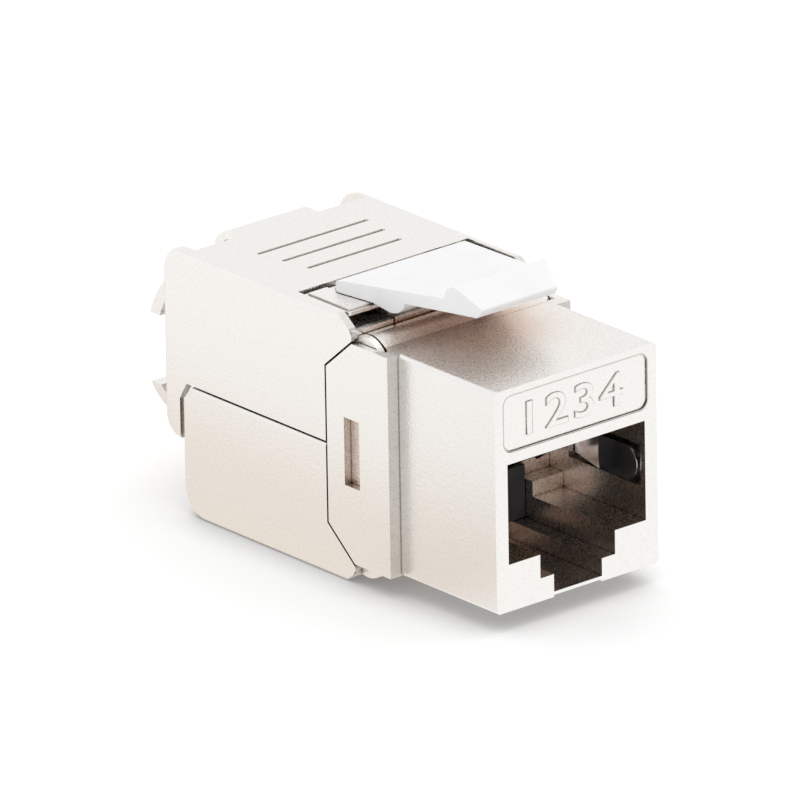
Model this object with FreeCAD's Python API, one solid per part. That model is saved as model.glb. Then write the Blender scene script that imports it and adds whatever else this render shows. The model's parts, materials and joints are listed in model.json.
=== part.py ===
"""Shielded, tool-less keystone jack for panel mounting.

Millimetres. X is the width, the front face looks to -Y and +Z is up. The pieces are drawn in the
jack's own coordinates, with y measured back from the front face and z measured from the middle of
the nose. place() then moves each piece so that the origin lies at the centre of the jack's
length and width, on the plane that the lower cover rests on.
"""
import FreeCAD, Part
import math
import os

V = FreeCAD.Vector

# ---------------------------------------------------------------- driving dimensions
# nose: the block that goes through the panel
nose_width = 14.5
nose_height = 16.1
nose_length = 10.0
nose_edge_radius = 0.3

# flange: the wider block behind the panel
flange_width = 16.44
flange_length = 6.48
flange_wall = 0.55
flange_corner_length = 2.75
flange_corner_height = 2.35
window_width = 1.6
window_height = 4.95
window_from_shoulder = 3.08
window_depth = 0.6

# hinges of the two covers
hinge_from_shoulder = 3.1
upper_hinge_height = 6.63
lower_hinge_height = 7.0
ear_radius = 1.96
knuckle_length = 3.2
trunnion_radius = 0.8
trunnion_length = 0.35

# covers
cover_wall = 0.6
upper_cover_height = 9.95
lower_cover_height = 9.5
upper_cover_end = 33.78
lower_cover_end = 31.95
cover_plate_end = 31.0
plate_notch_end = 20.02
top_edge_radius = 0.25
parting_edge_radius = 0.2
upper_rear_radius = 2.0
lower_rear_radius = 2.2
lock_tab_height = 4.07
lock_tab_radius = 1.5
lock_corner_length = 1.0
lock_corner_height = 1.1
cover_nose_length = 2.9
cross_bar_width = 0.42
cross_bar_height = 0.38
cross_bar_lift = 0.47
groove_count = 3
groove_pitch = 2.2
groove_width = 0.32
groove_depth = 0.12
groove_length = 8.4
groove_length_step = 0.75
groove_from_notch = 3.05

# cable clamp at the rear of the covers
jaw_width = 10.2
jaw_thickness = 0.8
jaw_end = 39.05
jaw_lip_height = 2.55
jaw_lip_length = 1.05
upper_jaw_height = 6.9
upper_jaw_curve = 3.45
lower_jaw_height = 4.05
lower_jaw_curve = 1.85
cable_mouth_radius = 3.6
tongue_width = 7.0
tongue_end = 34.0

# modular socket
socket_width = 12.3
socket_top = 2.6
socket_shelf = -4.65
socket_channel_width = 6.7
socket_channel_floor = -6.38
socket_keyway_width = 4.3
socket_keyway_floor = -7.66
socket_depth = 10.0
plug_stop_depth = 8.55
plug_stop_height = 1.1
back_stop_height = 2.1
keyway_lip = 0.24
keyway_lip_length = 5.0

# label panel over the socket
label_width = 12.9
label_height = 4.08
label_above_socket = 0.8
label_depth = 0.12
label_corner_radius = 0.7

# room behind the socket for the contacts
core_step = 0.95
core_skin = 0.45
well_wall = 0.3
well_height = 12.6
contact_room_front = 1.9
contact_room_width = 9.9

# shield springs in the side walls of the socket
spring_strip = 0.2
spring_height = 2.5
spring_centre = -0.8
spring_root_depth = 7.9
spring_bend_depth = 4.45
spring_tip_depth = 0.65
spring_bulge = 0.35
spring_tip_bulge = 0.2
pocket_depth = 0.75

# contact carrier, circuit board and terminals
carrier_front = 10.3
carrier_thickness = 1.9
carrier_foot_front = 9.3
board_thickness = 1.6
block_step = 0.6
block_height = 12.2
block_end = 20.8
contact_count = 8
contact_pitch = 1.016
contact_width = 0.3
contact_thickness = 0.22
contact_front = 3.0
contact_free_end = 9.2
contact_run_height = 2.85
contact_row_step = 0.45
contact_bend_radius = 0.55
contact_free_height = -0.5
terminal_columns = 4
terminal_pitch = 2.0
terminal_row_height = 4.3
terminal_width = 1.5
terminal_thickness = 0.4
terminal_end = 24.2
terminal_slot_width = 0.4
terminal_slot_depth = 2.6

# wire manager
manager_side_gap = 0.6
manager_height = 14.6
manager_length = 8.2
manager_bore_radius = 3.3
wire_slot_width = 1.1
wire_slot_depth = 3.6
wire_slot_length = 2.2

# release latch, its pad and the fixed hook
pad_side_gap = 0.22
pad_from_shoulder = 4.95
pad_length = 4.77
pad_top = 9.9
pad_thickness = 0.4
pad_rim = 0.25
pad_rim_height = 0.14
pad_recess_width = 11.0
pad_recess_depth = 0.5
bridge_from_shoulder = 3.8
bridge_top = 8.98
saddle_inset = 0.2
saddle_top = 8.82
saddle_thickness = 1.0
latch_rear_width = 11.4
latch_end = 19.1
latch_tail_slope = 0.9
latch_tail_inset = 0.6
latch_rear_radius = 0.5
latch_thickness = 0.85
latch_foot_front = 12.1
latch_foot_height = 9.58
latch_foot_length = 2.8
latch_top_front = 11.78
latch_notch = 8.5
latch_notch_width = 8.6
fin_peak = 7.8
fin_height = 12.78
fin_knee_drop = 0.28
fin_lean = 0.15
latch_tip = 5.62
latch_tip_height = 11.47
latch_tip_width = 6.7
chin_drop = 0.64
chin_back = 0.41
latch_arm_thickness = 0.94
latch_stem_width = 6.0
latch_stem_length = 1.2
latch_stem_depth = 1.15
hook_width = 9.0
hook_height = 1.35
hook_back = 8.4
hook_length = 2.5
hook_slope = 1.2

# clearances
running_gap = 0.05
seat_gap = 0.05
cover_gap = 0.2
flange_gap = 0.15
lock_gap = 0.25
parting_gap = 0.18
ear_side_gap = 0.05
ear_rim_gap = 0.18
stem_swing_gap = 0.36

# ---------------------------------------------------------------- derived places
nose_side = nose_width / 2
nose_top = nose_height / 2
flange_side = flange_width / 2
shoulder = nose_length
flange_end = shoulder + flange_length
hinge_depth = shoulder + hinge_from_shoulder
wall_inside = flange_side - flange_wall
ear_outside = wall_inside - ear_side_gap
ear_inside = ear_outside - knuckle_length
slot_inside = ear_inside - ear_rim_gap
slot_front = hinge_depth - ear_radius - ear_rim_gap
cover_inside = flange_side - cover_wall
cover_front = flange_end + flange_gap
chamfer_slant = math.hypot(flange_corner_length, flange_corner_height)
chamfer_height = (nose_top - flange_corner_height
                  + flange_gap * (chamfer_slant - flange_corner_height) / flange_corner_length)
chamfer_slope = flange_corner_height / flange_corner_length
cover_nose = cover_front - cover_nose_length
core_width = socket_width - 2 * core_step
core_top = upper_hinge_height - ear_radius - ear_rim_gap - core_skin
well_width = 2 * (slot_inside - well_wall)
bridge_width = 2 * slot_inside
pad_width = 2 * (cover_inside - pad_side_gap)
block_width = core_width + 2 * block_step
manager_width = 2 * (cover_inside - manager_side_gap)
carrier_end = carrier_front + carrier_thickness
board_front = carrier_end + seat_gap
board_end = board_front + board_thickness
block_front = board_end + seat_gap
manager_front = block_end + cover_gap
pad_front = shoulder + pad_from_shoulder
latch_under = pad_top + seat_gap
stem_front = pad_front - latch_stem_length / 2 - seat_gap * 3
overall_length = jaw_end

sides = (-1, 1)


# ---------------------------------------------------------------- drawing helpers
def block(x0, x1, y0, y1, z0, z1):
    """A box between two opposite corners, given in any order."""
    low = V(min(x0, x1), min(y0, y1), min(z0, z1))
    return Part.makeBox(abs(x1 - x0), abs(y1 - y0), abs(z1 - z0), low)


def centred(width, y0, y1, z0, z1):
    """A box that is symmetric about the jack's middle plane."""
    return block(-width / 2, width / 2, y0, y1, z0, z1)


def side_profile(points, x0, x1):
    """A (y, z) outline extruded across the jack from x0 to x1."""
    wire = Part.makePolygon([V(x0, y, z) for y, z in points + points[:1]])
    return Part.Face(wire).extrude(V(x1 - x0, 0, 0))


def front_profile(points, y0, y1):
    """An (x, z) outline extruded back from y0 to y1."""
    wire = Part.makePolygon([V(x, y0, z) for x, z in points + points[:1]])
    return Part.Face(wire).extrude(V(0, y1 - y0, 0))


def plan_profile(points, z0, z1):
    """An (x, y) outline extruded up from z0 to z1."""
    wire = Part.makePolygon([V(x, y, z0) for x, y in points + points[:1]])
    return Part.Face(wire).extrude(V(0, 0, z1 - z0))


def curved_profile(path, x0, x1):
    """A (y, z) outline extruded across the jack; a corner given as three points is a round arc."""
    edges = []
    last = path[-1][-1] if isinstance(path[-1], list) else path[-1]
    for step in path:
        first = step[0] if isinstance(step, list) else step
        edges.append(Part.LineSegment(V(x0, *last), V(x0, *first)).toShape())
        if isinstance(step, list):
            edges.append(Part.Arc(*[V(x0, *point) for point in step]).toShape())
        last = step[-1] if isinstance(step, list) else step
    return Part.Face(Part.Wire(edges)).extrude(V(x1 - x0, 0, 0))


def rod_x(y, z, radius, x0, x1):
    return Part.makeCylinder(radius, abs(x1 - x0), V(min(x0, x1), y, z), V(1, 0, 0))


def rod_y(x, z, radius, y0, y1):
    return Part.makeCylinder(radius, y1 - y0, V(x, y0, z), V(0, 1, 0))


def joined(shapes):
    """One solid from pieces that overlap."""
    return shapes[0].multiFuse(shapes[1:]).removeSplitter()


def mirrored(shape):
    """The same shape on the other side of the middle plane."""
    return shape.mirror(V(0, 0, 0), V(1, 0, 0))


def rounded(shape, radius, wanted):
    """Fillet the straight edges whose middle point and direction satisfy wanted(middle, direction)."""
    picked = []
    for edge in shape.Edges:
        if edge.Curve.TypeId != "Part::GeomLine":
            continue
        start, end = edge.Vertexes[0].Point, edge.Vertexes[-1].Point
        direction = (end - start).normalize()
        if wanted((start + end) * 0.5, direction):
            picked.append(edge)
    return shape.makeFillet(radius, picked) if picked else shape


def near(a, b):
    return abs(a - b) < 0.01


def along(direction, axis):
    return abs(abs(direction.dot(axis)) - 1) < 0.001


X_AXIS, Y_AXIS, Z_AXIS = V(1, 0, 0), V(0, 1, 0), V(0, 0, 1)


def round_corner(shape, y, z, radius):
    """Fillet the edge across the jack that passes through (y, z)."""
    return rounded(shape, radius, lambda middle, way: along(way, X_AXIS)
                   and near(middle.y, y) and near(middle.z, z))


# ---------------------------------------------------------------- front housing
def socket_outline():
    """Front view of the plug opening: shelf, latch channel and keyway."""
    right = [
        (socket_width / 2, socket_top),
        (socket_width / 2, socket_shelf),
        (socket_channel_width / 2, socket_shelf),
        (socket_channel_width / 2, socket_channel_floor),
        (socket_keyway_width / 2, socket_channel_floor),
        (socket_keyway_width / 2, socket_keyway_floor),
    ]
    left = [(-x, z) for x, z in reversed(right)]
    return right + left


def socket_space():
    """The plug's room, the steps that stop the plug and the room for the contacts above it."""
    room = front_profile(socket_outline(), 0, socket_depth)
    stop_inside = socket_channel_width / 2
    for side in sides:
        stop = block(side * stop_inside, side * socket_width / 2, plug_stop_depth, socket_depth,
                     socket_shelf, socket_shelf + plug_stop_height)
        room = room.cut(stop)
    back_stop = socket_shelf + back_stop_height
    behind = centred(core_width, socket_depth, carrier_end, back_stop, core_top)
    channel = centred(socket_channel_width, socket_depth, carrier_end, socket_channel_floor, back_stop)
    well = centred(well_width, carrier_end, flange_end, -well_height / 2, well_height / 2)
    ceiling = centred(contact_room_width, contact_room_front, socket_depth, socket_top, core_top)
    return joined([room, behind, channel, well, ceiling])


def flange_side_outline(top, bottom):
    corner_y = flange_end - flange_corner_length
    return [
        (shoulder, bottom),
        (corner_y, bottom),
        (flange_end, bottom + flange_corner_height),
        (flange_end, top - flange_corner_height),
        (corner_y, top),
        (shoulder, top),
    ]


def label_recess():
    low = socket_top + label_above_socket
    panel = centred(label_width, 0, label_depth, low, low + label_height)
    return rounded(panel, label_corner_radius, lambda middle, way: along(way, Y_AXIS))


def latch_bridge():
    """The beam over the flange that carries the latch, its pad and the saddle beside the beam."""
    front = shoulder + bridge_from_shoulder
    under = pad_top - pad_thickness
    pad_end = pad_front + pad_length
    beam = side_profile([
        (shoulder + 2, nose_top - 0.6),
        (front, nose_top),
        (front, bridge_top),
        (pad_front - 0.5, bridge_top),
        (pad_front, under),
        (pad_end, under),
        (pad_end, under - 0.7),
        (flange_end, nose_top + 0.1),
        (flange_end, well_height / 2),
        (shoulder + 2, well_height / 2),
    ], -bridge_width / 2, bridge_width / 2)
    saddle_front = cover_nose + cross_bar_width + 1.5 * cover_gap
    saddle_end = pad_end - 1.5 * saddle_inset
    saddle_under = saddle_top - saddle_thickness
    saddle_side = pad_width / 2 - saddle_inset
    saddle = side_profile([
        (saddle_front, saddle_top),
        (saddle_front, well_height / 2),
        (flange_end, well_height / 2),
        (flange_end, saddle_under - 0.5),
        (saddle_end, saddle_under),
        (saddle_end, saddle_top),
    ], -saddle_side, saddle_side)
    rim_top = pad_top - pad_rim_height
    plate = centred(pad_width, pad_front, pad_end, under, rim_top)
    plate = rounded(plate, pad_rim, lambda middle, way: along(way, Z_AXIS))
    raised = centred(pad_width - 2 * pad_rim, pad_front + pad_rim, pad_end - pad_rim, rim_top, pad_top)
    recess = centred(pad_recess_width, pad_end - pad_recess_depth, pad_end + 1, under, pad_top + 1)
    return [beam, saddle, plate.cut(recess), raised.cut(recess)]


def stem_pocket():
    """The slot in the bridge and the pad that takes the latch's stem, with room for its swing."""
    width = latch_stem_width + 2 * seat_gap
    low = latch_under - latch_stem_depth - 4 * seat_gap
    return centred(width, stem_front - 2 * seat_gap, stem_front + latch_stem_length + stem_swing_gap,
                   low - pad_thickness, pad_top)


def panel_hook():
    outline = [
        (hook_back, -nose_top + 0.2),
        (hook_back, -nose_top - hook_height),
        (hook_back - hook_length + hook_slope, -nose_top - hook_height),
        (hook_back - hook_length, -nose_top + 0.2),
    ]
    return side_profile(outline, -hook_width / 2, hook_width / 2)


def knuckle_pocket(side, hinge_height, way):
    """Room for a cover's hinge knuckle and for the bar on it. way is +1 above, -1 below."""
    inner, outer = side * slot_inside, side * wall_inside
    radius = ear_radius + ear_rim_gap
    well = rod_x(hinge_depth, way * hinge_height, radius, inner, outer)
    mouth = block(inner, outer, slot_front, hinge_depth, way * hinge_height, way * (nose_top + 2))
    bar_room = block(inner, outer, hinge_depth, cover_nose + cross_bar_width + 1.5 * cover_gap,
                     way * hinge_height, way * (nose_top + 2))
    return [well, mouth, bar_room]


def spring_pocket(side):
    """The hollow in a side wall of the socket where its shield spring lies."""
    half = spring_height / 2 + 0.25
    inner = side * (socket_width / 2 - 0.1)
    outer = side * (socket_width / 2 + pocket_depth)
    return block(inner, outer, spring_tip_depth - 0.15, spring_root_depth + 0.1,
                 spring_centre - half, spring_centre + half)


def front_housing():
    nose = centred(nose_width, 0, shoulder + 0.5, -nose_top, nose_top)
    nose = rounded(nose, nose_edge_radius, lambda middle, way: along(way, Y_AXIS))
    flange = side_profile(flange_side_outline(nose_top, -nose_top), -flange_side, flange_side)
    body = joined([nose, flange] + latch_bridge() + [panel_hook()])
    cuts = [socket_space(), label_recess(), stem_pocket()]
    for side in sides:
        cuts += knuckle_pocket(side, upper_hinge_height, 1)
        cuts += knuckle_pocket(side, lower_hinge_height, -1)
        cuts.append(block(side * slot_inside, side * wall_inside, hinge_depth, flange_end + 1,
                          -lower_hinge_height - ear_radius / 2, -nose_top - 1))
        for height in (upper_hinge_height, -lower_hinge_height):
            cuts.append(rod_x(hinge_depth, height, trunnion_radius + running_gap,
                              side * (wall_inside - 0.1),
                              side * (wall_inside + trunnion_length)))
        window_front = shoulder + window_from_shoulder
        cuts.append(block(side * (flange_side - window_depth), side * (flange_side + 1), window_front,
                          window_front + window_width, -window_height / 2, window_height / 2))
        cuts.append(spring_pocket(side))
    cuts.append(centred(socket_keyway_width, -1, keyway_lip_length, -nose_top - 1,
                        socket_keyway_floor - keyway_lip))
    return body.cut(cuts)


# ---------------------------------------------------------------- covers
def nose_outline(height):
    """The front end of a cover's side wall: down from the plate, round the nose to the chamfer."""
    shelf = nose_top + flange_gap
    low = shelf + flange_gap
    rise = height - low
    return [
        (cover_nose + 0.9 * rise, height),
        (cover_nose + 0.18 * rise, low + 0.44 * rise),
        (cover_nose, low + 0.13 * rise),
        (cover_nose, low),
        (cover_front - (shelf - chamfer_height) / chamfer_slope, shelf),
        (cover_front, chamfer_height),
    ]


def upper_wall_outline():
    tab_front = lower_cover_end + lock_gap
    return nose_outline(upper_cover_height) + [
        (cover_front, parting_gap),
        (tab_front - lock_corner_length + 0.25, parting_gap),
        (tab_front, -lock_corner_height),
        (tab_front, -lock_tab_height),
        (upper_cover_end, -lock_tab_height),
        (upper_cover_end, upper_cover_height),
    ]


def lower_wall_outline():
    return [(y, -z) for y, z in nose_outline(lower_cover_height)] + [
        (cover_front, 0),
        (lower_cover_end - lock_corner_length, 0),
        (lower_cover_end, -lock_corner_height - parting_gap / 2),
        (lower_cover_end, -lower_cover_height),
    ]


def cable_jaw(way):
    """Curved lip that closes on the cable. way is +1 on the upper cover, -1 on the lower."""
    height, curve = (upper_jaw_height, upper_jaw_curve) if way > 0 else (lower_jaw_height, lower_jaw_curve)
    root = cover_plate_end - cover_wall
    knee = jaw_end - curve
    rise = height - jaw_lip_height
    outer = [(knee, height), (knee + 0.62 * curve, jaw_lip_height + 0.55 * rise),
             (jaw_end, jaw_lip_height)]
    lip = jaw_end - jaw_lip_length
    inner_rise = rise - jaw_thickness
    inner_knee = knee - 0.4 * jaw_thickness
    inner = [(lip, jaw_lip_height),
             (inner_knee + 0.62 * (lip - inner_knee), jaw_lip_height + 0.55 * inner_rise),
             (inner_knee, height - jaw_thickness)]
    path = [(root, height), outer, inner, (root, height - jaw_thickness)]
    turned = [[(y, way * z) for y, z in step] if isinstance(step, list) else (step[0], way * step[1])
              for step in path]
    return curved_profile(turned, -jaw_width / 2, jaw_width / 2)


def rear_tongue(height, way, low, radius):
    """The strip that carries the plate over the rear edge and down to the jaw."""
    end = tongue_end if way > 0 else lower_cover_end
    outer = block(-tongue_width / 2, tongue_width / 2, cover_plate_end - 3, end, way * low,
                  way * height)
    outer = round_corner(outer, end, way * height, radius)
    inner = block(-tongue_width, tongue_width, cover_plate_end - 4, end - cover_wall,
                  way * (low - 1), way * (height - cover_wall))
    inner = round_corner(inner, end - cover_wall, way * (height - cover_wall), radius - cover_wall)
    return outer.cut(inner)


def cover_shell(wall_outline, height, way, plate_front, rear_radius, rear_end):
    """Side walls, plate, rear wall, tongue and cable jaw of one cover."""
    walls = []
    for side in sides:
        wall = side_profile(wall_outline, side * cover_inside, side * flange_side)
        wall = round_corner(wall, rear_end, way * height, rear_radius)
        walls.append(round_corner(wall, rear_end, -way * lock_tab_height, lock_tab_radius))
    plate = centred(flange_width, plate_front, cover_plate_end, way * (height - cover_wall),
                    way * height)
    rear = centred(flange_width - cover_wall, cover_plate_end - cover_wall, cover_plate_end,
                   way * parting_gap, way * (height - 0.1))
    room = block(-flange_side, flange_side, plate_front - 1, rear_end, 0, way * height)
    room = round_corner(room, rear_end, way * height, rear_radius)
    plate, rear = plate.common(room), rear.common(room)
    low = upper_jaw_height if way > 0 else lower_jaw_height
    tongue = rear_tongue(height, way, low - jaw_thickness / 2, rear_radius)
    shell = joined(walls + [plate, rear, tongue, cable_jaw(way)])
    mouth = rod_y(0, 0, cable_mouth_radius, cover_plate_end - 2, jaw_end + 1)
    return shell.cut(mouth)


def cross_bars(hinge_height, way):
    """On each side: the bar on the cover's nose, the hinge knuckle under it and its trunnion."""
    bar_front = cover_nose + 0.04
    low = nose_top + cross_bar_lift
    pieces = []
    for side in sides:
        pieces.append(block(side * (flange_side - 0.1), side * ear_inside, bar_front,
                            bar_front + cross_bar_width, way * low, way * (low + cross_bar_height)))
        pieces.append(block(side * ear_inside, side * ear_outside, bar_front,
                            bar_front + cross_bar_width, way * hinge_height, way * (low + 0.1)))
        pieces.append(rod_x(hinge_depth, way * hinge_height, ear_radius, side * ear_inside,
                            side * ear_outside))
        pieces.append(rod_x(hinge_depth, way * hinge_height, trunnion_radius,
                            side * (ear_outside - 0.2),
                            side * (wall_inside + trunnion_length - seat_gap)))
    return pieces


def upper_cover():
    shell = cover_shell(upper_wall_outline(), upper_cover_height, 1, plate_notch_end,
                        upper_rear_radius, upper_cover_end)
    shell = rounded(shell, top_edge_radius, lambda middle, way: along(way, Y_AXIS)
                    and near(abs(middle.x), flange_side) and near(middle.z, upper_cover_height))
    shell = joined([shell] + cross_bars(upper_hinge_height, 1))
    grooves = []
    for index in range(groove_count):
        centre = plate_notch_end + groove_from_notch + index * groove_pitch
        reach = (groove_length + index * groove_length_step - groove_width) / 2
        low = upper_cover_height - groove_depth
        slot = block(-reach, reach, centre - groove_width / 2, centre + groove_width / 2, low, low + 1)
        ends = [Part.makeCylinder(groove_width / 2, 1, V(side * reach, centre, low)) for side in sides]
        grooves.append(joined([slot] + ends))
    return shell.cut(grooves)


def lower_cover():
    shell = cover_shell(lower_wall_outline(), lower_cover_height, -1, cover_nose + 1.28,
                        lower_rear_radius, lower_cover_end)
    shell = rounded(shell, top_edge_radius, lambda middle, way: along(way, Y_AXIS)
                    and near(abs(middle.x), flange_side) and near(middle.z, -lower_cover_height))
    shell = rounded(shell, parting_edge_radius, lambda middle, way: along(way, Y_AXIS)
                    and near(abs(middle.x), flange_side) and near(middle.z, 0))
    bars = cross_bars(lower_hinge_height, -1)
    bar_end = cover_nose + cross_bar_width
    for side in sides:
        bars.append(block(side * ear_inside, side * ear_outside, bar_end - 0.2, cover_nose + 2,
                          -nose_top - cross_bar_lift, -lower_cover_height + cover_wall - 0.1))
    return joined([shell] + bars)


# ---------------------------------------------------------------- release latch
def release_latch():
    tail_top = latch_under + latch_thickness
    tail_corner = (latch_end - latch_tail_slope, tail_top)
    crease = (latch_notch, latch_top_front)
    knee = (latch_notch - fin_lean, fin_height - fin_knee_drop)
    peak = (fin_peak, fin_height)
    chin = (latch_tip + chin_back, latch_tip_height - chin_drop)
    arm_under = latch_top_front - latch_arm_thickness
    toe = (latch_foot_front + 0.55, latch_foot_height + 0.15)
    heel = (latch_foot_front + 1.15, latch_foot_height)
    side_view = side_profile([
        (latch_end, latch_under),
        (latch_end, latch_under + 0.1),
        tail_corner,
        crease,
        knee,
        peak,
        (latch_tip, latch_tip_height),
        chin,
        (latch_notch, arm_under),
        (latch_foot_front, arm_under - 0.3),
        (latch_foot_front + 0.08, latch_foot_height + 0.6),
        toe,
        heel,
        (latch_foot_front + latch_foot_length - seat_gap, latch_under - 0.04),
        (latch_foot_front + latch_foot_length, latch_under),
    ], -latch_rear_width, latch_rear_width)
    for corner, radius in ((tail_corner, 0.9), (crease, 0.3), (knee, 0.2), (peak, 0.2), (chin, 0.2),
                           ((latch_tip, latch_tip_height), 0.15), (toe, 0.5), (heel, 0.8)):
        side_view = round_corner(side_view, *corner, radius)
    rear_side = latch_rear_width / 2
    right = [
        (rear_side - latch_tail_inset, latch_end),
        (rear_side, latch_end - latch_tail_slope),
        (latch_notch_width / 2, latch_notch),
        (latch_tip_width / 2, latch_tip),
    ]
    left = [(-x, y) for x, y in reversed(right)]
    plan = plan_profile(right + left, latch_foot_height - 1, fin_height + 1)
    plan = rounded(plan, latch_rear_radius, lambda middle, way: along(way, Z_AXIS)
                   and middle.y > latch_end - latch_tail_slope - 0.01)
    arm = side_view.common(plan)
    stem = centred(latch_stem_width, stem_front, stem_front + latch_stem_length,
                   latch_under - latch_stem_depth, latch_under + 0.2)
    return joined([arm, stem])


# ---------------------------------------------------------------- inner pieces
def shield_spring(side):
    """A bent strip: root in the pocket, bulge towards the plug, rounded free end at the front."""
    seat = socket_width / 2 + pocket_depth - seat_gap
    bend = socket_width / 2 - spring_bulge
    tip = socket_width / 2 - spring_tip_bulge
    outer = [(seat, spring_root_depth), (bend + spring_strip, spring_bend_depth),
             (tip + spring_strip, spring_tip_depth)]
    inner = [(tip, spring_tip_depth), (bend, spring_bend_depth),
             (seat - spring_strip, spring_root_depth)]
    low = spring_centre - spring_height / 2
    strip = plan_profile([(side * x, y) for x, y in outer + inner], low, low + spring_height)
    strip = rounded(strip, 0.9, lambda middle, way: along(way, Z_AXIS)
                    and near(middle.y, spring_bend_depth))
    end_radius = spring_height / 2
    reach = spring_tip_depth + end_radius
    shape = rod_x(reach, spring_centre, end_radius, -socket_width, socket_width).fuse(
        centred(3 * socket_width, reach, spring_root_depth + 1, low, low + spring_height))
    return strip.common(shape)


def contact_x(index):
    return (index - (contact_count - 1) / 2) * contact_pitch


def contact_run(index):
    """Height of a contact's straight run; neighbours lie in two rows."""
    return contact_run_height + (index % 2) * contact_row_step


def contact_hole(index, y0, y1, gap):
    """The hole that a contact's straight run passes through."""
    x, z = contact_x(index), contact_run(index)
    half, thick = contact_width / 2 + gap, contact_thickness / 2 + gap
    return block(x - half, x + half, y0, y1, z - thick, z + thick)


def contact_carrier():
    """Dark insert behind the socket: wall, foot in the latch channel and comb over the contacts."""
    width = core_width - 2 * seat_gap
    back_stop = socket_shelf + back_stop_height
    wall = centred(width, carrier_front, carrier_end - seat_gap, back_stop + seat_gap,
                   core_top - seat_gap)
    foot_width = socket_channel_width - 2 * seat_gap
    foot = centred(foot_width, carrier_foot_front, carrier_end - seat_gap,
                   socket_channel_floor + seat_gap, back_stop + 2 * seat_gap)
    hollow = centred(foot_width / 2, carrier_foot_front - 1, carrier_foot_front + 0.6,
                     socket_channel_floor + 1.2, back_stop - 0.6)
    roof = centred(contact_room_width - 2 * seat_gap, contact_front + 0.4, carrier_front + 0.1,
                   core_top - 0.45, core_top - seat_gap)
    ribs = []
    for index in range(contact_count + 1):
        x = contact_x(index) - contact_pitch / 2
        ribs.append(block(x - 0.18, x + 0.18, contact_front + 0.9, carrier_front + 0.1,
                          socket_top + 0.1, core_top - 0.4))
    body = joined([wall, foot, roof] + ribs).cut(hollow)
    holes = [contact_hole(index, carrier_front - 1, carrier_end + 1, seat_gap)
             for index in range(contact_count)]
    rest = centred(contact_pitch * contact_count + 0.4, carrier_front - 1, carrier_front + 0.7,
                   contact_free_height - 0.6, contact_free_height + 0.6)
    return body.cut(holes + [rest])


def spring_contact(index):
    """One stamped strip: tail through the board, run under the ceiling, bend, and a free end."""
    x = contact_x(index)
    run = contact_run(index)
    radius = contact_bend_radius + (index % 2) * contact_row_step / 2
    centre_y, centre_z = contact_front + radius, run - radius
    # the free arm leaves the bend along the tangent that points at the free end
    reach_y, reach_z = contact_free_end - centre_y, contact_free_height - centre_z
    arm = math.atan2(reach_z, reach_y) - math.asin(radius / math.hypot(reach_y, reach_z))
    leave = arm + 1.5 * math.pi
    arm_length = math.sqrt(reach_y ** 2 + reach_z ** 2 - radius ** 2)

    def at(angle, distance):
        return centre_y + distance * math.cos(angle), centre_z + distance * math.sin(angle)

    def arc(distance):
        return [at(angle, distance) for angle in (math.pi / 2, (math.pi / 2 + leave) / 2, leave)]

    def arm_tip(distance):
        y, z = at(leave, distance)
        return y + arm_length * math.cos(arm), z + arm_length * math.sin(arm)

    half = contact_thickness / 2
    tail = board_end + seat_gap / 2
    path = [(tail, run + half), arc(radius + half), arm_tip(radius + half), arm_tip(radius - half),
            arc(radius - half)[::-1], (tail, run - half)]
    return curved_profile(path, x - contact_width / 2, x + contact_width / 2)


def circuit_board():
    edge = 2 * seat_gap
    board = centred(well_width - edge, board_front, board_end, -well_height / 2 + edge,
                    well_height / 2 - edge)
    return board.cut([contact_hole(index, board_front - 1, board_end + 1, seat_gap / 2)
                      for index in range(contact_count)])


def terminal_place(index):
    """Centre of a terminal: four columns in an upper and a lower row."""
    column = index % terminal_columns
    row = 1 if index < terminal_columns else -1
    return (column - (terminal_columns - 1) / 2) * terminal_pitch, row * terminal_row_height


def idc_terminal(index):
    """Flat forked blade whose slot opens to the rear."""
    x, z = terminal_place(index)
    half = terminal_width / 2
    slot = terminal_slot_width / 2
    lead_in = slot + 0.3
    base = block_front + seat_gap
    outline = [
        (-half, base), (half, base), (half, terminal_end - 0.4), (lead_in, terminal_end),
        (slot, terminal_end - 0.6), (slot, terminal_end - terminal_slot_depth),
        (-slot, terminal_end - terminal_slot_depth), (-slot, terminal_end - 0.6),
        (-lead_in, terminal_end), (-half, terminal_end - 0.4),
    ]
    low = z - terminal_thickness / 2
    return plan_profile([(x + dx, y) for dx, y in outline], low, low + terminal_thickness)


def terminal_block():
    """Plastic block with one slit for each terminal; its front end seats in the flange."""
    front = centred(well_width - 2 * seat_gap, block_front, flange_end, -well_height / 2 + seat_gap,
                    well_height / 2 - seat_gap)
    rear = centred(block_width, flange_end, block_end, -block_height / 2, block_height / 2)
    trough = centred(block_width + 1, flange_end + 1.4, block_end + 1, -1.6, 1.6)
    body = joined([front, rear]).cut(trough)
    slits = []
    for index in range(2 * terminal_columns):
        x, z = terminal_place(index)
        half = terminal_width / 2 + seat_gap
        thick = terminal_thickness / 2 + seat_gap
        slits.append(block(x - half, x + half, block_front - 1, block_end + 1, z - thick, z + thick))
    tails = [contact_hole(index, block_front - 1, block_front + 0.2, 2 * seat_gap)
             for index in range(contact_count)]
    return body.cut(slits + tails)


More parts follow.
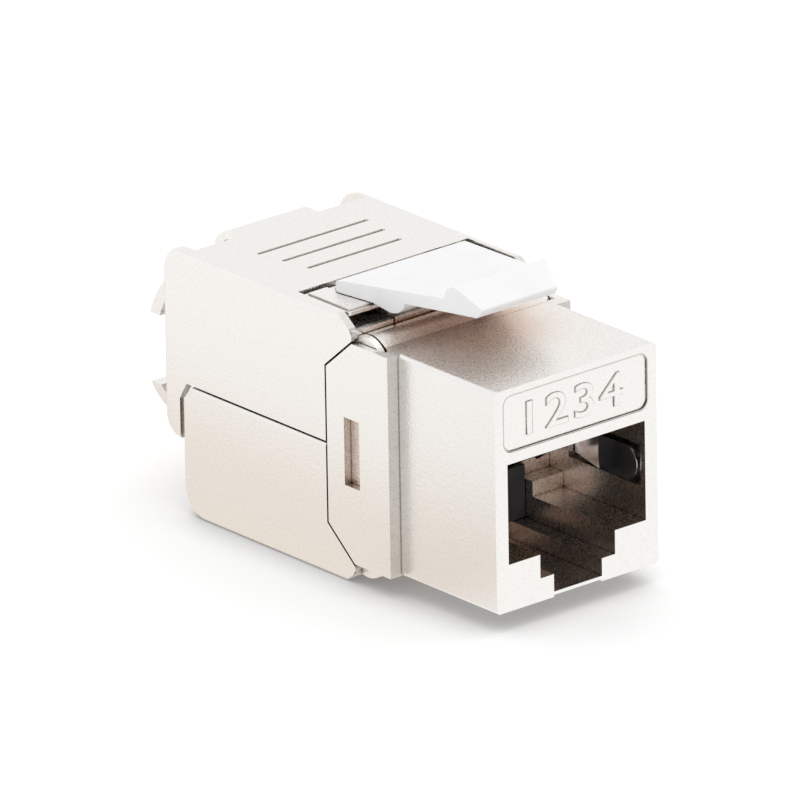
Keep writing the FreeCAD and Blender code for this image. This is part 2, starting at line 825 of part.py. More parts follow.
def wire_manager():
    """Cap that lays each wire over its terminal, with the cable hole through its middle."""
    end = manager_front + manager_length
    body = centred(manager_width, manager_front, end, -manager_height / 2, manager_height / 2)
    body = rounded(body, 0.6, lambda middle, way: along(way, Y_AXIS))
    cuts = [rod_y(0, 0, manager_bore_radius, manager_front - 1, end + 1)]
    flare = Part.makeCone(manager_bore_radius, manager_bore_radius + 1.2, 1.2,
                          V(0, end - 1.2, 0), V(0, 1, 0))
    cuts.append(flare)
    for index in range(2 * terminal_columns):
        x, z = terminal_place(index)
        half = terminal_width / 2 + 2 * seat_gap
        thick = terminal_thickness / 2 + 2 * seat_gap
        cuts.append(block(x - half, x + half, manager_front - 1, terminal_end + 0.3, z - thick,
                          z + thick))
        row = 1 if z > 0 else -1
        outer = row * (manager_height / 2 + 1)
        slot_low = row * (manager_height / 2 - wire_slot_depth)
        slot_y = manager_front + 0.9
        cuts.append(block(x - wire_slot_width / 2, x + wire_slot_width / 2, slot_y,
                          slot_y + wire_slot_length, slot_low, outer))
    return body.cut(cuts)


# ---------------------------------------------------------------- assembly
def place(shape):
    """Move a piece from the jack's own coordinates to the part's frame."""
    return shape.translated(V(0, -overall_length / 2, lower_cover_height))


def pieces():
    nodes = {
        "front_housing": front_housing(),
        "upper_cover": upper_cover(),
        "lower_cover": lower_cover(),
        "release_latch": release_latch(),
        "shield_spring_left": shield_spring(-1),
        "shield_spring_right": shield_spring(1),
        "contact_carrier": contact_carrier(),
        "circuit_board": circuit_board(),
        "terminal_block": terminal_block(),
        "wire_manager": wire_manager(),
    }
    for index in range(contact_count):
        nodes[f"spring_contact_{index + 1}"] = spring_contact(index)
    for index in range(2 * terminal_columns):
        nodes[f"idc_terminal_{index + 1}"] = idc_terminal(index)
    return nodes


os.makedirs("parts", exist_ok=True)
for name, shape in pieces().items():
    solid = place(shape)
    if len(solid.Solids) == 1:
        solid = solid.Solids[0]
    box = solid.BoundBox
    print(f"{name}: solids {len(solid.Solids)}, volume {solid.Volume:.2f}, "
          f"valid {solid.isValid()}, y {box.YMin:.2f}..{box.YMax:.2f}, "
          f"z {box.ZMin:.2f}..{box.ZMax:.2f}")
    solid.exportStep(f"parts/{name}.step")
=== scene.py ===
"""Shielded tool-less keystone jack: finishes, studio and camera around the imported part."""
import json
import math

import bmesh
import bpy
from mathutils import Matrix, Vector


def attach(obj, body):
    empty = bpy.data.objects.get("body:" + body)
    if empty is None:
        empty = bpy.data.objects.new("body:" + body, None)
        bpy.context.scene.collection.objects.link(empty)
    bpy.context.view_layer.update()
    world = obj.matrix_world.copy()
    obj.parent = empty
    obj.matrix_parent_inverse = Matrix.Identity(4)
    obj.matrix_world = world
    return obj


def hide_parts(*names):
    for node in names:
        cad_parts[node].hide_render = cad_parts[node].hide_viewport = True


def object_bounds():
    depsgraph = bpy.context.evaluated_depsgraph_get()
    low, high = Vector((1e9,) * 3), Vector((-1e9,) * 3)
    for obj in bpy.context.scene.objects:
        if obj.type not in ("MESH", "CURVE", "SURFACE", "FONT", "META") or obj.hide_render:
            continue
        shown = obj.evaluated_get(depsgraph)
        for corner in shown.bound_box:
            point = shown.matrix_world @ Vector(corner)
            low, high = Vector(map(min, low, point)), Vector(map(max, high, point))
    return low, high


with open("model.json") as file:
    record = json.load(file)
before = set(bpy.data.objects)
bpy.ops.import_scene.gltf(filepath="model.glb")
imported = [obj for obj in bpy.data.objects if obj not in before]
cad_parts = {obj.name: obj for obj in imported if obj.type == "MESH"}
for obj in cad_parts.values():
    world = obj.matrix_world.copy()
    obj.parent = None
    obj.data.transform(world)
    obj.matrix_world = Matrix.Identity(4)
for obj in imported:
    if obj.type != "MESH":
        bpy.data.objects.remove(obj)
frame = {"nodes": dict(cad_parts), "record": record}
nodes = frame["nodes"]
cad_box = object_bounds()

MM = 0.001


# ---------------------------------------------------------------- shader helpers
def new_material(name):
    """A material with one Principled shader, and the tools to wire it."""
    material = bpy.data.materials.new(name)
    material.use_nodes = True
    tree = material.node_tree
    shader = next(node for node in tree.nodes if node.type == "BSDF_PRINCIPLED")
    return material, tree, shader


def object_coordinates(tree):
    return tree.nodes.new("ShaderNodeTexCoord").outputs["Object"]


def noise(tree, coordinates, grain, detail):
    """Noise whose grains are about `grain` metres wide."""
    node = tree.nodes.new("ShaderNodeTexNoise")
    node.inputs["Scale"].default_value = 1 / grain
    node.inputs["Detail"].default_value = detail
    tree.links.new(coordinates, node.inputs["Vector"])
    return node.outputs["Fac"]


def ramp(tree, factor, stops):
    """Colour ramp through (position, (r, g, b)) stops."""
    node = tree.nodes.new("ShaderNodeValToRGB")
    elements = node.color_ramp.elements
    while len(elements) < len(stops):
        elements.new(0.5)
    for element, (position, colour) in zip(elements, stops):
        element.position = position
        element.color = (*colour, 1)
    tree.links.new(factor, node.inputs["Fac"])
    return node.outputs["Color"]


def remap(tree, factor, low, high):
    """Stretch a factor of 0 to 1 to the range from low to high."""
    node = tree.nodes.new("ShaderNodeMapRange")
    node.inputs["To Min"].default_value = low
    node.inputs["To Max"].default_value = high
    tree.links.new(factor, node.inputs["Value"])
    return node.outputs["Result"]


def arithmetic(tree, operation, *values):
    """Math node fed with numbers or with other nodes' outputs."""
    node = tree.nodes.new("ShaderNodeMath")
    node.operation = operation
    for socket, value in zip(node.inputs, values):
        if isinstance(value, (int, float)):
            socket.default_value = value
        else:
            tree.links.new(value, socket)
    return node.outputs[0]


def bump(tree, height, strength, distance):
    node = tree.nodes.new("ShaderNodeBump")
    node.inputs["Strength"].default_value = strength
    node.inputs["Distance"].default_value = distance
    tree.links.new(height, node.inputs["Height"])
    return node.outputs["Normal"]


# ---------------------------------------------------------------- finishes
WHITE = (1.0, 1.0, 1.0)
COVER_SAMPLES = 8
PEEL_GRAIN = 0.2 * MM
# Painted shade: reaches and stops of the darkening painted into the metal's colour in gaps and creases.
GAP_REACH, CREASE_REACH = 1.2 * MM, 0.16 * MM
CREASE_SHADE_STOPS = [(0.4, (0.4, 0.37, 0.36)), (0.86, WHITE)]


def nearby_cover(tree, reach):
    """Mask for painted shade and painted shadow: 1 on open faces, towards 0 in gaps and under overhangs
    closer than `reach` metres.
    """
    node = tree.nodes.new("ShaderNodeAmbientOcclusion")
    node.samples = COVER_SAMPLES
    node.inputs["Distance"].default_value = reach
    return node.outputs["AO"]


def multiply_colours(tree, first, second):
    node = tree.nodes.new("ShaderNodeMix")
    node.data_type = "RGBA"
    node.blend_type = "MULTIPLY"
    factor, colour_a, colour_b = node.inputs[0], node.inputs[6], node.inputs[7]
    factor.default_value = 1.0
    tree.links.new(first, colour_a)
    tree.links.new(second, colour_b)
    return node.outputs[2]


def nickel_plating(name, dark, bright, gap_reach, gap_shade_stops, grain_depth):
    """Nickel plating on a zinc casting, with an orange-peel skin and painted shade in its gaps and creases.
    """
    material, tree, shader = new_material(name)
    place = object_coordinates(tree)
    peel = noise(tree, place, PEEL_GRAIN, detail=2)
    tint = ramp(tree, peel, [(0.36, dark), (0.62, bright)])
    gaps = ramp(tree, nearby_cover(tree, gap_reach), gap_shade_stops)
    creases = ramp(tree, nearby_cover(tree, CREASE_REACH), CREASE_SHADE_STOPS)
    shade = multiply_colours(tree, gaps, creases)
    tree.links.new(multiply_colours(tree, tint, shade), shader.inputs["Base Color"])
    tree.links.new(bump(tree, peel, 0.6, grain_depth), shader.inputs["Normal"])
    tree.links.new(remap(tree, peel, 0.22, 0.34), shader.inputs["Roughness"])
    shader.inputs["Metallic"].default_value = 1.0
    return material


def satin_nickel():
    """Warm white metal on all the outsides, painted near-black as painted shade deep in its gaps."""
    return nickel_plating("satin_nickel", (0.942, 0.918, 0.886), (0.982, 0.964, 0.936), GAP_REACH,
                          [(0.02, (0.06, 0.04, 0.03)), (0.2, (0.42, 0.34, 0.3)),
                           (0.42, (0.88, 0.85, 0.83)), (0.52, WHITE)], 0.03 * MM)


def overhung_shade_nickel():
    """The same metal, a little darker, under the latch: painted shade, browner the less of the sky it sees,
    which also stands in as a painted reflection of the latch's shaded underside.
    """
    return nickel_plating("overhung_shade_nickel", (0.91, 0.88, 0.845), (0.98, 0.96, 0.93), 7.0 * MM,
                          [(0.1, (0.64, 0.46, 0.38)), (0.45, (0.86, 0.72, 0.64)),
                           (0.72, (0.98, 0.94, 0.91)), (0.9, WHITE)], 0.035 * MM)


def grey_shade_nickel():
    """The same plating painted greyer: painted shade on the face that seats on the panel, on the front faces
    of the cover walls and in the lines round the label and its numbers.
    """
    return nickel_plating("grey_shade_nickel", (0.6, 0.575, 0.55), (0.68, 0.655, 0.625), GAP_REACH,
                          [(0.1, (0.6, 0.6, 0.6)), (0.6, WHITE)], 0.02 * MM)


def recess_shade_nickel():
    """The same plating painted darker and browner in deep recesses: painted shade."""
    return nickel_plating("recess_shade_nickel", (0.68, 0.61, 0.56), (0.86, 0.79, 0.74), 5.0 * MM,
                          [(0.05, (0.45, 0.37, 0.32)), (0.35, (0.9, 0.86, 0.83)),
                           (0.6, WHITE)], 0.03 * MM)


def edge_highlight_nickel():
    """The same plating along the edges, painted bright as a highlight, and painted dark as shade where an
    edge lies in cover.
    """
    material, tree, shader = new_material("edge_highlight_nickel")
    shade = ramp(tree, nearby_cover(tree, 2.0 * MM),
                 [(0.08, (0.08, 0.055, 0.04)), (0.42, (0.97, 0.96, 0.945))])
    tree.links.new(shade, shader.inputs["Base Color"])
    shader.inputs["Roughness"].default_value = 0.2
    shader.inputs["Metallic"].default_value = 1.0
    return material


def moulded_plastic(name, low, high, roughness, translucency=0.0):
    """Injection-moulded plastic with a faint flow mottle and a fine tool texture."""
    material, tree, shader = new_material(name)
    place = object_coordinates(tree)
    flow = noise(tree, place, 2.2 * MM, detail=2)
    tree.links.new(ramp(tree, flow, [(0.35, low), (0.65, high)]), shader.inputs["Base Color"])
    grain = noise(tree, place, 0.12 * MM, detail=1)
    tree.links.new(bump(tree, grain, 0.08, 0.01 * MM), shader.inputs["Normal"])
    tree.links.new(remap(tree, grain, roughness - 0.04, roughness + 0.04),
                   shader.inputs["Roughness"])
    shader.inputs["Subsurface Weight"].default_value = translucency
    shader.inputs["Subsurface Radius"].default_value = (0.6 * MM, 0.5 * MM, 0.45 * MM)
    shader.inputs["Subsurface Scale"].default_value = 1.0
    return material


def plated_metal(name, low, high, roughness):
    """Bright strip or wire: polished plating with faint drawing marks."""
    material, tree, shader = new_material(name)
    place = object_coordinates(tree)
    cloud = noise(tree, place, 0.8 * MM, detail=2)
    tree.links.new(ramp(tree, cloud, [(0.3, low), (0.7, high)]), shader.inputs["Base Color"])
    marks = noise(tree, place, 0.1 * MM, detail=1)
    tree.links.new(bump(tree, marks, 0.05, 0.008 * MM), shader.inputs["Normal"])
    tree.links.new(remap(tree, marks, roughness, roughness + 0.06), shader.inputs["Roughness"])
    shader.inputs["Metallic"].default_value = 1.0
    return material


nickel = satin_nickel()
edge_highlight_finish = {"nickel_casting": edge_highlight_nickel()}
recess_shade_finish = recess_shade_nickel()
overhung_shade_finish = overhung_shade_nickel()
grey_shade_finish = grey_shade_nickel()
finish_of_slot = {
    "nickel_casting": nickel,
    "white_plastic": moulded_plastic("latch_plastic", (0.91, 0.91, 0.918), (0.94, 0.94, 0.946),
                                     0.3, 0.15),
    "black_plastic": moulded_plastic("insert_plastic", (0.016, 0.018, 0.023),
                                     (0.03, 0.034, 0.042), 0.42),
    "grey_plastic": moulded_plastic("block_plastic", (0.05, 0.05, 0.055), (0.07, 0.07, 0.078), 0.45),
    "natural_plastic": moulded_plastic("manager_plastic", (0.7, 0.69, 0.66), (0.78, 0.77, 0.74),
                                       0.4, 0.1),
    "board": moulded_plastic("solder_mask", (0.012, 0.07, 0.03), (0.02, 0.1, 0.045), 0.3),
    "spring_steel": plated_metal("bright_strip", (0.62, 0.6, 0.6), (0.74, 0.73, 0.73), 0.12),
    "gold_wire": plated_metal("gold_plating", (0.8, 0.55, 0.2), (0.9, 0.66, 0.28), 0.16),
    "tin_bronze": plated_metal("tin_plating", (0.66, 0.64, 0.6), (0.76, 0.74, 0.7), 0.25),
}


# ---------------------------------------------------------------- carried-over pieces
def dress(name, slot):
    """Give a CAD node its finish and break its sharp edges."""
    piece = nodes[name]
    piece.data.materials.clear()
    piece.data.materials.append(finish_of_slot[slot])
    soften_edges(piece, slot)
    for polygon in piece.data.polygons:
        polygon.use_smooth = False


def soften_edges(piece, slot):
    """Round the sharp edges of a piece and, where it is metal, paint them bright as a painted highlight."""
    width = EDGE_WIDTH.get(slot)
    if width is None:
        return
    weld = piece.modifiers.new("weld", "WELD")
    weld.merge_threshold = 0.001 * MM
    bevel = piece.modifiers.new("edges", "BEVEL")
    bevel.width = width
    bevel.segments = 3
    bevel.limit_method = "ANGLE"
    bevel.angle_limit = SHARP_ANGLE
    bevel.harden_normals = False
    bevel.use_clamp_overlap = True
    if slot in edge_highlight_finish:
        if len(piece.data.materials) < 2:
            piece.data.materials.append(edge_highlight_finish[slot])
        bevel.material = 1


SHARP_ANGLE = math.radians(28)
EDGE_WIDTH = {"nickel_casting": 0.11 * MM, "white_plastic": 0.12 * MM, "spring_steel": 0.05 * MM}

for part in frame["record"]["subparts"]:
    dress(part["node"], part["material_slot"])


# ---------------------------------------------------------------- places in the jack
# In millimetres: across from the middle, back from the front face, up from the nose's axis.
NOSE_AXIS = 9.5
NOSE_TOP, NOSE_SIDE = 8.05, 7.25
SHOULDER, FLANGE_SIDE, BRIDGE_END = 10.0, 8.22, 18.0
SOCKET_SIDE, SOCKET_LOW, SOCKET_HIGH, SOCKET_BACK = 6.5, -7.9, 4.4, 12.0
WINDOW_FRONT, WINDOW_BACK, WINDOW_UP = 11.0, 15.5, 3.0
HINGE_BACK, UPPER_HINGE, LOWER_HINGE = 13.1, 6.63, 7.0
UPPER_RIB, LOWER_RIB, RIB_SIDE = 1.98, 1.63, 6.98
RAMP_FRONT, RAMP_REACH, RAMP_PROUD = SHOULDER + 0.9, 0.1, 0.01
KNUCKLE_LENGTH, KNUCKLE_REACH = 3.2, 2.4
BAR_BACK, BAR_WIDTH, BAR_UP = 13.77, 0.42, 8.52
EAR_OUTSIDE, EAR_INSIDE, WALL_INSIDE = 7.62, 7.1, 7.64
HAIR, OVERCUT = 0.005, 0.1
OVERHANG_LOW, OVERHANG_HIGH = 4.5, NOSE_TOP + 0.7
SKIN = 0.03
ROUNDING_STRIP = 0.2 * MM
LEAST_SLANT, MOST_SLANT = 0.5, 0.93
RIB_SIDES = 144


def jack_point(across, back, up):
    """Place in the frame of a point across, back from the front face and up from the nose's axis."""
    return Vector((across * MM, cad_box[0][1] + back * MM, cad_box[0][2] + (NOSE_AXIS + up) * MM))


def finish_within(piece, finish, low, high):
    """Give a finish to the faces of a piece whose middles lie in a box of the jack's millimetres."""
    row = piece.data.materials.find(finish.name)
    if row < 0:
        piece.data.materials.append(finish)
        row = len(piece.data.materials) - 1
    low, high = jack_point(*low), jack_point(*high)
    for polygon in piece.data.polygons:
        if all(a < c < b for a, c, b in zip(low, polygon.center, high)):
            polygon.material_index = row


def paint_rounding_highlights(piece):
    """Give the middle of each narrow rounding along an edge the bright edge finish, a painted highlight."""
    mesh = piece.data
    for polygon in mesh.polygons:
        corners = [mesh.vertices[index].co for index in polygon.vertices]
        longest = max((a - b).length for a in corners for b in corners)
        slanted = LEAST_SLANT < max(map(abs, polygon.normal)) < MOST_SLANT
        if slanted and 2 * polygon.area < longest * ROUNDING_STRIP:
            polygon.material_index = 1


housing = nodes["front_housing"]
# Painted shade: the socket's insides take the darker recess finish.
finish_within(housing, recess_shade_finish,
              (-SOCKET_SIDE, SKIN, SOCKET_LOW), (SOCKET_SIDE, SOCKET_BACK, SOCKET_HIGH))
# Painted shade and painted reflection: the nose top and the hinge area under the latch take the browner
# finish.
finish_within(housing, overhung_shade_finish,
              (-NOSE_SIDE, 0, NOSE_TOP - SKIN), (NOSE_SIDE, BRIDGE_END, OVERHANG_HIGH))
finish_within(housing, overhung_shade_finish,
              (-EAR_OUTSIDE, SHOULDER, OVERHANG_LOW), (EAR_OUTSIDE, BRIDGE_END, OVERHANG_HIGH))
# Painted shade: the flange's front face takes the greyer copy of the plating.
for side in (-1, 1):
    inner, outer = sorted((side * NOSE_SIDE, side * (FLANGE_SIDE + 1)))
    finish_within(housing, grey_shade_finish,
                  (inner, SHOULDER - SKIN, -NOSE_TOP), (outer, SHOULDER + SKIN, NOSE_TOP))
paint_rounding_highlights(housing)
# Painted shade: the side windows take the darker recess finish.
for side in (-1, 1):
    inner, outer = sorted((side * 0.9 * FLANGE_SIDE, side * (FLANGE_SIDE - SKIN)))
    finish_within(housing, recess_shade_finish, (inner, WINDOW_FRONT, -WINDOW_UP), (outer, WINDOW_BACK, WINDOW_UP))


# ---------------------------------------------------------------- hinges
def add_piece(name, bm, body, finishes):
    """Make a bmesh a piece that rides on a body."""
    mesh = bpy.data.meshes.new(name)
    bm.to_mesh(mesh)
    bm.free()
    for finish in finishes:
        mesh.materials.append(finish)
    piece = bpy.data.objects.new(name, mesh)
    bpy.context.scene.collection.objects.link(piece)
    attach(piece, body)
    return piece


def prism(bm, corners, half_width):
    """Extrude a face of (back, up) corners across the jack."""
    ring = [bm.verts.new(jack_point(-half_width, back, up)) for back, up in corners]
    face = bm.faces.new(ring)
    swept = bmesh.ops.extrude_face_region(bm, geom=[face])["geom"]
    moved = [item for item in swept if isinstance(item, bmesh.types.BMVert)]
    bmesh.ops.translate(bm, verts=moved, vec=(2 * half_width * MM, 0, 0))


def hinge_rib(name, hinge_up, way, radius):
    """Round rib of the housing between the ears of a cover, with a short ramp before it."""
    bm = bmesh.new()
    lie_across = (Matrix.Translation(jack_point(0, HINGE_BACK, way * hinge_up))
                  @ Matrix.Rotation(math.pi / 2, 4, "Y"))
    bmesh.ops.create_cone(bm, cap_ends=True, segments=RIB_SIDES, radius1=radius * MM, radius2=radius * MM,
                          depth=2 * RIB_SIDE * MM, matrix=lie_across)
    rise = NOSE_TOP - hinge_up
    run = math.sqrt(radius ** 2 - rise ** 2) + RAMP_REACH
    reach = math.hypot(run, rise)
    slope = math.asin(radius / reach) - math.atan2(rise, run)
    length = math.sqrt(reach ** 2 - radius ** 2)
    foot, flat = HINGE_BACK - run, NOSE_TOP + RAMP_PROUD
    corners = [(RAMP_FRONT, flat), (foot, flat),
               (foot + length * math.cos(slope), NOSE_TOP + length * math.sin(slope)),
               (HINGE_BACK, hinge_up), (RAMP_FRONT, hinge_up)]
    prism(bm, [(back, way * up) for back, up in corners], RIB_SIDE)
    bmesh.ops.recalc_face_normals(bm, faces=bm.faces)
    # Painted shade: the rib takes the browner finish of the metal under the latch.
    add_piece(name, bm, "housing", [overhung_shade_finish])


def cutter(low, high):
    """Block between two corners of the jack's millimetres, to cut a piece with."""
    bm = bmesh.new()
    bmesh.ops.create_cube(bm, size=1.0)
    low, high = jack_point(*low), jack_point(*high)
    size, middle = high - low, (high + low) / 2
    stretch = Matrix.Diagonal((*map(abs, size), 1))
    bmesh.ops.transform(bm, verts=bm.verts, matrix=Matrix.Translation(middle) @ stretch)
    mesh = bpy.data.meshes.new("cutter")
    bm.to_mesh(mesh)
    bm.free()
    tool = bpy.data.objects.new("cutter", mesh)
    bpy.context.scene.collection.objects.link(tool)
    return tool


def knuckle_cutters(hinge_up, way):
    """Blocks that take away both knuckles of a cover, before its bar and under it."""
    tools = []
    for side in (-1, 1):
        left, right = sorted((side * (RIB_SIDE - KNUCKLE_LENGTH), side * EAR_INSIDE))
        low, high = sorted((way * (hinge_up - KNUCKLE_REACH), way * (hinge_up + KNUCKLE_REACH)))
        tools.append(cutter((left, SHOULDER, low), (right, BAR_BACK - HAIR, high)))
        low, high = sorted((way * (hinge_up - KNUCKLE_REACH), way * (BAR_UP - HAIR)))
        tools.append(cutter((left, BAR_BACK - OVERCUT, low), (right, BAR_BACK + BAR_WIDTH + OVERCUT, high)))
    return tools


def cover_with_thin_ears(node, hinge_up, way):
    """The cover with each hinge knuckle cut back to a thin ear at the wall, under its own bar."""
    source = nodes[node]
    bm = bmesh.new()
    bm.from_mesh(source.data)
    bmesh.ops.remove_doubles(bm, verts=bm.verts, dist=0.0005 * MM)
    piece = add_piece(node + "_shell", bm, node, source.data.materials)
    tools = knuckle_cutters(hinge_up, way)
    for tool in tools:
        cut = piece.modifiers.new("cut", "BOOLEAN")
        cut.operation = "DIFFERENCE"
        cut.solver = "EXACT"
        cut.object = tool
    evaluated = piece.evaluated_get(bpy.context.evaluated_depsgraph_get())
    shape = bpy.data.meshes.new_from_object(evaluated)
    piece.modifiers.clear()
    piece.data = shape
    # Painted shade: the front faces of the cover walls take the greyer copy of the plating.
    shape.materials.append(grey_shade_finish)
    front_edge_shade = len(shape.materials) - 1
    for tool in tools:
        bpy.data.objects.remove(tool)
    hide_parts(node)
    soften_edges(piece, "nickel_casting")
    paint_rounding_highlights(piece)
    for polygon in shape.polygons:
        normal = polygon.normal
        on_wall = abs(polygon.center.x) > WALL_INSIDE * MM
        faces_front = normal.y < -0.3 and abs(normal.x) < 0.2
        if on_wall and faces_front:
            polygon.material_index = front_edge_shade


hinge_rib("upper_hinge_rib", UPPER_HINGE, 1, UPPER_RIB)
hinge_rib("lower_hinge_rib", LOWER_HINGE, -1, LOWER_RIB)
cover_with_thin_ears("upper_cover", UPPER_HINGE, 1)
cover_with_thin_ears("lower_cover", LOWER_HINGE, -1)


# ---------------------------------------------------------------- label panel
LABEL_UP = 5.5
LABEL_WIDTH, LABEL_HEIGHT, LABEL_CORNER = 12.9, 4.08, 0.7
RIM_LINE, RIM_STEPS = 0.04, 6
NUMBER_WIDTH, NUMBER_HEIGHT, NUMBER_SPACING = 8.6, 2.4, 1.12
OUTLINE = 0.016
CURVE_WELD = 1e-4


def upright_mesh(curve, across, height, back):
    """Mesh of a flat curve, sized in millimetres and stood up in front of the label panel."""
    source = bpy.data.objects.new(curve.name, curve)
    bpy.context.scene.collection.objects.link(source)
    mesh = bpy.data.meshes.new_from_object(source.evaluated_get(bpy.context.evaluated_depsgraph_get()))
    bpy.data.objects.remove(source)
    bm = bmesh.new()
    bm.from_mesh(mesh)
    bpy.data.meshes.remove(mesh)
    bmesh.ops.remove_doubles(bm, verts=bm.verts, dist=CURVE_WELD)
    scale = []
    for axis, size in ((0, across), (1, height)):
        low = min(vert.co[axis] for vert in bm.verts)
        high = max(vert.co[axis] for vert in bm.verts)
        scale.append(size * MM / (high - low))
        bmesh.ops.translate(bm, verts=bm.verts, vec=[-(low + high) / 2 * (axis == i) for i in range(3)])
    bmesh.ops.scale(bm, verts=bm.verts, vec=(*scale, scale[1]))
    stand = Matrix.Translation(jack_point(0, back, LABEL_UP)) @ Matrix.Rotation(math.pi / 2, 4, "X")
    bmesh.ops.transform(bm, verts=bm.verts, matrix=stand)
    return bm


def cast_numbers(name, text, relief, outline, back, finish):
    """Plain numbers in the label panel: their raised bodies, or only a dark rounded line of painted shade
    round them.
    """
    curve = bpy.data.curves.new(name, "FONT")
    curve.body = text
    curve.space_character = NUMBER_SPACING
    curve.resolution_u = 5
    curve.extrude = relief
    curve.bevel_depth = outline
    curve.bevel_resolution = 2
    curve.fill_mode = "NONE" if outline else "BOTH"
    grow = 2 * outline * NUMBER_HEIGHT
    bm = upright_mesh(curve, NUMBER_WIDTH + grow, NUMBER_HEIGHT + grow, back)
    add_piece(name, bm, "housing", [finish])


def label_shade_line():
    """Thin rounded dark line along the mouth of the label recess: a painted shade line."""
    curve = bpy.data.curves.new("label_shade_line", "CURVE")
    curve.dimensions = "3D"
    curve.bevel_depth = RIM_LINE
    curve.bevel_resolution = 2
    spline = curve.splines.new("POLY")
    spline.points.add(4 * (RIM_STEPS + 1) - 1)
    spline.use_cyclic_u = True
    for index, point in enumerate(spline.points):
        quarter, step = divmod(index, RIM_STEPS + 1)
        turn = math.pi / 2 * (quarter + step / RIM_STEPS)
        way = ((1, 1), (-1, 1), (-1, -1), (1, -1))[quarter]
        point.co = (way[0] * (LABEL_WIDTH / 2 - LABEL_CORNER) + LABEL_CORNER * math.cos(turn),
                    way[1] * (LABEL_HEIGHT / 2 - LABEL_CORNER) + LABEL_CORNER * math.sin(turn), 0, 1)
    bm = upright_mesh(curve, LABEL_WIDTH + 2 * RIM_LINE, LABEL_HEIGHT + 2 * RIM_LINE, RIM_LINE / 3)
    add_piece("label_shade_line", bm, "housing", [grey_shade_finish])


cast_numbers("label_numbers", "1234", 0.02, 0.0, 0.1, nickel)
cast_numbers("label_number_shade_lines", "1234", 0.0, OUTLINE, 0.09, grey_shade_finish)
label_shade_line()


# ---------------------------------------------------------------- studio
WORLD_LIGHT, WORLD_MIRRORED, WORLD_SEEN = 0.95, 0.9, 1.0
FLOOR_SIZE, FLOOR_GLOW = 3.0, 0.2
# Painted shadow on the floor: its colour is darkened within this reach of the jack.
PAINTED_SHADOW_REACH = 5 * MM
PAINTED_SHADOW_STOPS = [(0.25, (0.3, 0.3, 0.3)), (0.8, (0.92, 0.92, 0.92))]
# Painted shadow in the floor that metal mirrors, warmest near the jack.
SHADE_FRONT, SHADE_NEAR, SHADE_FAR = 8 * MM, 18 * MM, 29 * MM
SHADE_COLOUR = (0.85, 0.79, 0.735)


def looked_at(tree, rays):
    """1 for what the camera sees, straight or through something clear."""
    return arithmetic(tree, "ADD", rays.outputs["Is Camera Ray"], rays.outputs["Is Transmission Ray"])


def surroundings():
    """White world, a little dimmer as a light and in mirrors than it looks."""
    world = bpy.data.worlds.new("surroundings")
    bpy.context.scene.world = world
    world.use_nodes = True
    tree = world.node_tree
    background = tree.nodes["Background"]
    rays = tree.nodes.new("ShaderNodeLightPath")
    mirrored = arithmetic(tree, "MULTIPLY_ADD", rays.outputs["Is Glossy Ray"],
                          WORLD_MIRRORED - WORLD_LIGHT, WORLD_LIGHT)
    strength = arithmetic(tree, "MULTIPLY_ADD", looked_at(tree, rays), WORLD_SEEN - WORLD_LIGHT, mirrored)
    tree.links.new(strength, background.inputs["Strength"])
    background.inputs["Color"].default_value = (*WHITE, 1)


def lay_floor():
    """White floor that keeps the jack's soft shadow from the lamp and world, with a painted shadow deepening
    it near the jack.
    """
    bm = bmesh.new()
    bmesh.ops.create_grid(bm, x_segments=1, y_segments=1, size=FLOOR_SIZE)
    mesh = bpy.data.meshes.new("floor")
    bm.to_mesh(mesh)
    bm.free()
    floor = bpy.data.objects.new("floor", mesh)
    bpy.context.scene.collection.objects.link(floor)
    floor.location.z = cad_box[0][2]
    floor.data.materials.append(floor_paint())


def mix_shaders(tree, factor, first, second):
    node = tree.nodes.new("ShaderNodeMixShader")
    tree.links.new(factor, node.inputs["Fac"])
    tree.links.new(first.outputs[0], node.inputs[1])
    tree.links.new(second.outputs[0], node.inputs[2])
    return node


def mirrored_floor(tree):
    """What metal sees of the floor: a plain white glow, warmer in a painted shadow round the jack."""
    glow = tree.nodes.new("ShaderNodeEmission")
    parts = tree.nodes.new("ShaderNodeSeparateXYZ")
    tree.links.new(object_coordinates(tree), parts.inputs[0])
    beside = arithmetic(tree, "ABSOLUTE", parts.outputs["X"])
    before = arithmetic(tree, "MULTIPLY_ADD", parts.outputs["Y"], -1, SHADE_FRONT)
    near = tree.nodes.new("ShaderNodeMapRange")
    near.inputs["From Min"].default_value = SHADE_NEAR
    near.inputs["From Max"].default_value = SHADE_FAR
    tree.links.new(arithmetic(tree, "MAXIMUM", beside, before), near.inputs["Value"])
    colour = ramp(tree, near.outputs["Result"], [(0.0, SHADE_COLOUR), (1.0, WHITE)])
    tree.links.new(colour, glow.inputs["Color"])
    return glow


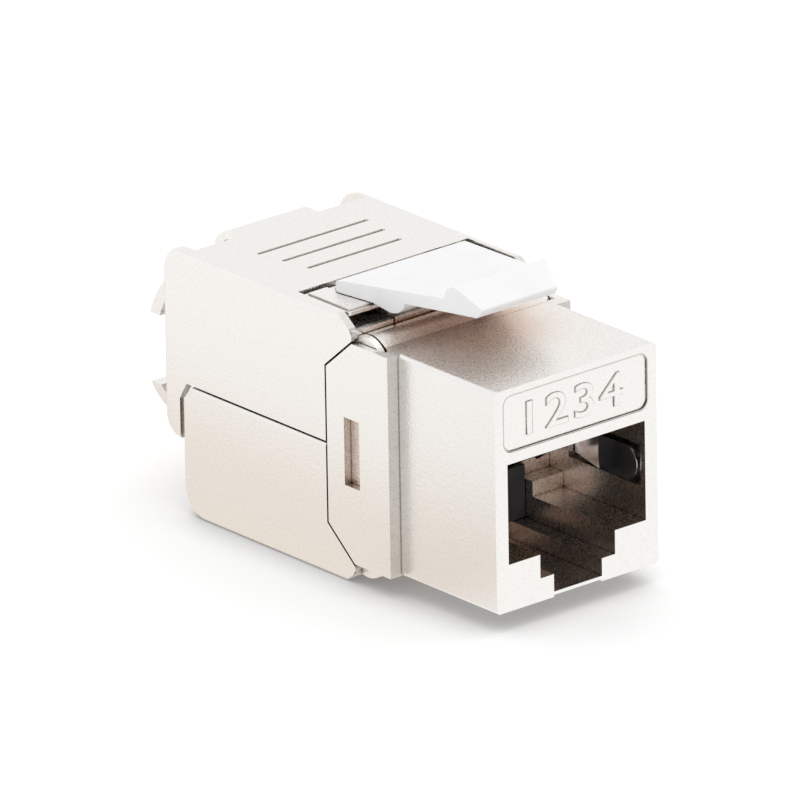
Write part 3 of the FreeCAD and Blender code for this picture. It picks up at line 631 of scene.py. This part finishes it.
def floor_paint():
    """White paint, darkened near the jack by a painted shadow, that looks a little brighter to the camera,
    and has its own face for mirrors.
    """
    material, tree, shader = new_material("floor_paint")
    painted_shadow = ramp(tree, nearby_cover(tree, PAINTED_SHADOW_REACH), PAINTED_SHADOW_STOPS)
    tree.links.new(painted_shadow, shader.inputs["Base Color"])
    shader.inputs["Roughness"].default_value = 0.9
    shader.inputs["Specular IOR Level"].default_value = 0.1
    glow = tree.nodes.new("ShaderNodeEmission")
    glow.inputs["Strength"].default_value = FLOOR_GLOW
    lit = tree.nodes.new("ShaderNodeAddShader")
    tree.links.new(shader.outputs[0], lit.inputs[0])
    tree.links.new(glow.outputs[0], lit.inputs[1])
    rays = tree.nodes.new("ShaderNodeLightPath")
    seen = mix_shaders(tree, looked_at(tree, rays), shader, lit)
    faced = mix_shaders(tree, rays.outputs["Is Glossy Ray"], seen, mirrored_floor(tree))
    output = next(node for node in tree.nodes if node.type == "OUTPUT_MATERIAL")
    tree.links.new(faced.outputs[0], output.inputs["Surface"])
    return material


def softbox(name, direction, distance, size, watts):
    """Round area lamp that looks at the jack from `direction`."""
    centre = (Vector(cad_box[0]) + Vector(cad_box[1])) / 2
    lamp = bpy.data.lights.new(name, "AREA")
    lamp.shape = "DISK"
    lamp.size = size
    lamp.energy = watts
    item = bpy.data.objects.new(name, lamp)
    towards = Vector(direction).normalized()
    item.location = centre + towards * distance
    item.rotation_euler = towards.to_track_quat("Z", "Y").to_euler()
    bpy.context.scene.collection.objects.link(item)


lay_floor()
surroundings()
softbox("key", direction=(0.5, 0.1, 1.0), distance=0.35, size=0.35, watts=0.12)


# ---------------------------------------------------------------- camera
AZIMUTH, ELEVATION, ROLL = math.radians(-40.05), math.radians(21.03), math.radians(-0.977)
CAMERA_DISTANCE, CAMERA_ACROSS, CAMERA_DOWN = 1356.0 * MM, 11.981 * MM, -5.332 * MM
SENSOR_WIDTH, FOCAL_LENGTH = 36, 900


def place_camera():
    """Long lens from the left front, a little above."""
    back = Vector((math.sin(AZIMUTH) * math.cos(ELEVATION),
                   -math.cos(AZIMUTH) * math.cos(ELEVATION), math.sin(ELEVATION)))
    level = Vector((math.cos(AZIMUTH), math.sin(AZIMUTH), 0))
    above = back.cross(level)
    right = level * math.cos(ROLL) + above * math.sin(ROLL)
    up = above * math.cos(ROLL) - level * math.sin(ROLL)
    nose_middle = jack_point(0, 0, 0)
    place = nose_middle - right * CAMERA_ACROSS - up * CAMERA_DOWN + back * CAMERA_DISTANCE
    lens = bpy.data.cameras.new("camera")
    lens.sensor_width = SENSOR_WIDTH
    lens.lens = FOCAL_LENGTH
    lens.clip_start = 0.1
    lens.clip_end = 10
    item = bpy.data.objects.new("camera", lens)
    item.matrix_world = Matrix.Translation(place) @ Matrix((right, up, back)).transposed().to_4x4()
    bpy.context.scene.collection.objects.link(item)
    bpy.context.scene.camera = item


place_camera()
bpy.context.scene.view_settings.view_transform = "Standard"
